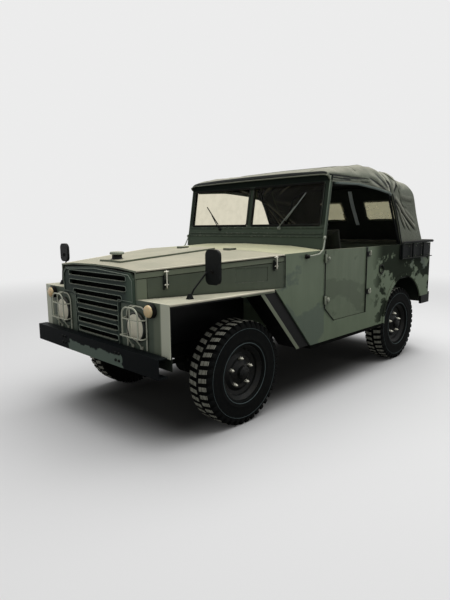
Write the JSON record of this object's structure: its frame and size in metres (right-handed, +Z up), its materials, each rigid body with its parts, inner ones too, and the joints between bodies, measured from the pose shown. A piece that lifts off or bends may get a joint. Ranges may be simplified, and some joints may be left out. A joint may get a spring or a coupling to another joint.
{
  "type": "army 4x4 car",
  "caption": "Light army four-wheel-drive car with an open steel body, folding canvas top, flat wings, slotted nose and guarded headlamps.",
  "frame": {"origin": "on the ground below the middle of the overall length and width", "axes": "+Z up, +Y towards the rear, +X towards the car's left side"},
  "size_m": [1.786, 3.941, 1.985],
  "materials": {
    "olive_paint": "matt",
    "nose_paint": "matt",
    "guard_paint": "satin",
    "black_paint": "satin",
    "wheel_paint": "satin",
    "black_plastic": "satin",
    "cast_metal": "matt",
    "tyre": "matt",
    "canvas": "matt",
    "seat_cover": "matt",
    "lamp_chrome": "polished",
    "amber_lens": "gloss",
    "glass": "clear"
  },
  "bodies": {
    "body": {"chassis_frame": "black_paint", "front_bumper": "black_paint", "rear_bumpers": "black_paint", "engine_block": "cast_metal", "drive_line": "cast_metal", "front_axle": "black_paint", "rear_axle": "black_paint", "springs": "black_paint", "dampers": "black_paint", "fuel_tank": "black_paint", "exhaust": "cast_metal", "steering_column": "black_paint", "body_floor": "olive_paint", "body_sides": "olive_paint", "cowl": "olive_paint", "bonnet_sides": "olive_paint", "front_wings": "olive_paint", "grille": "nose_paint", "headlamps": "lamp_chrome", "lamp_guards": "guard_paint", "marker_lamps": "amber_lens", "radiator": "black_paint", "windscreen_frame": "olive_paint", "window_panes": "glass", "stowage_racks": "black_paint", "seats": "seat_cover", "canvas_top": "canvas", "canvas_bows": "black_paint", "mirrors": "black_paint"},
    "knuckle_left": {"knuckle_left": "cast_metal"},
    "knuckle_right": {"knuckle_right": "cast_metal"},
    "tie_rod": {"tie_rod": "cast_metal"},
    "steering_wheel": {"steering_wheel": "black_plastic"},
    "wheel_front_left": {"tyre_front_left": "tyre", "rim_front_left": "wheel_paint"},
    "wheel_front_right": {"tyre_front_right": "tyre", "rim_front_right": "wheel_paint"},
    "wheel_rear_left": {"tyre_rear_left": "tyre", "rim_rear_left": "wheel_paint"},
    "wheel_rear_right": {"tyre_rear_right": "tyre", "rim_rear_right": "wheel_paint"},
    "door_left": {"door_left": "olive_paint"},
    "door_right": {"door_right": "olive_paint"},
    "bonnet": {"bonnet": "olive_paint"},
    "tailgate": {"tailgate": "olive_paint"}
  },
  "joints": [
    {"name": "steer_left", "type": "hinge", "parent": "body", "child": "knuckle_left", "pos_m": [0.606, -1.1655, 0.388], "axis": [0, 0, 1], "range_deg": [-30, 30]},
    {"name": "steer_right", "type": "hinge", "parent": "body", "child": "knuckle_right", "pos_m": [-0.606, -1.1655, 0.388], "axis": [0, 0, 1], "range_deg": [-30, 30]},
    {"name": "tie_rod_end", "type": "hinge", "parent": "knuckle_left", "child": "tie_rod", "pos_m": [0.606, -1.0055, 0.318], "axis": [0, 0, 1], "range_deg": [-30, 30]},
    {"name": "steering_wheel_turn", "type": "hinge", "parent": "body", "child": "steering_wheel", "pos_m": [0.368, -0.0805, 1.2], "axis": [0, 0.8812, 0.4728], "range_deg": [-480, 480]},
    {"name": "wheel_spin_front_left", "type": "hinge", "parent": "knuckle_left", "child": "wheel_front_left", "pos_m": [0.7, -1.1655, 0.388], "axis": [1, 0, 0], "continuous": true},
    {"name": "wheel_spin_front_right", "type": "hinge", "parent": "knuckle_right", "child": "wheel_front_right", "pos_m": [-0.7, -1.1655, 0.388], "axis": [1, 0, 0], "continuous": true},
    {"name": "wheel_spin_rear_left", "type": "hinge", "parent": "body", "child": "wheel_rear_left", "pos_m": [0.7, 1.2945, 0.388], "axis": [1, 0, 0], "continuous": true},
    {"name": "wheel_spin_rear_right", "type": "hinge", "parent": "body", "child": "wheel_rear_right", "pos_m": [-0.7, 1.2945, 0.388], "axis": [1, 0, 0], "continuous": true},
    {"name": "door_left_swing", "type": "hinge", "parent": "body", "child": "door_left", "pos_m": [0.8653, -0.2585, 1], "axis": [0, 0, -1], "range_deg": [0, 75]},
    {"name": "door_right_swing", "type": "hinge", "parent": "body", "child": "door_right", "pos_m": [-0.8653, -0.2585, 1], "axis": [0, 0, 1], "range_deg": [0, 75]},
    {"name": "bonnet_lift", "type": "hinge", "parent": "body", "child": "bonnet", "pos_m": [0, -0.7835, 1.2684], "axis": [-1, 0, 0], "range_deg": [0, 65]},
    {"name": "tailgate_drop", "type": "hinge", "parent": "body", "child": "tailgate", "pos_m": [0, 1.9128, 0.663], "axis": [-1, 0, 0], "range_deg": [0, 90]}
  ],
  "couplings": [
    {"joint": "steer_right", "follows": "steer_left", "ratio": 1},
    {"joint": "tie_rod_end", "follows": "steer_left", "ratio": -1},
    {"joint": "steering_wheel_turn", "follows": "steer_left", "ratio": 16}
  ]
}
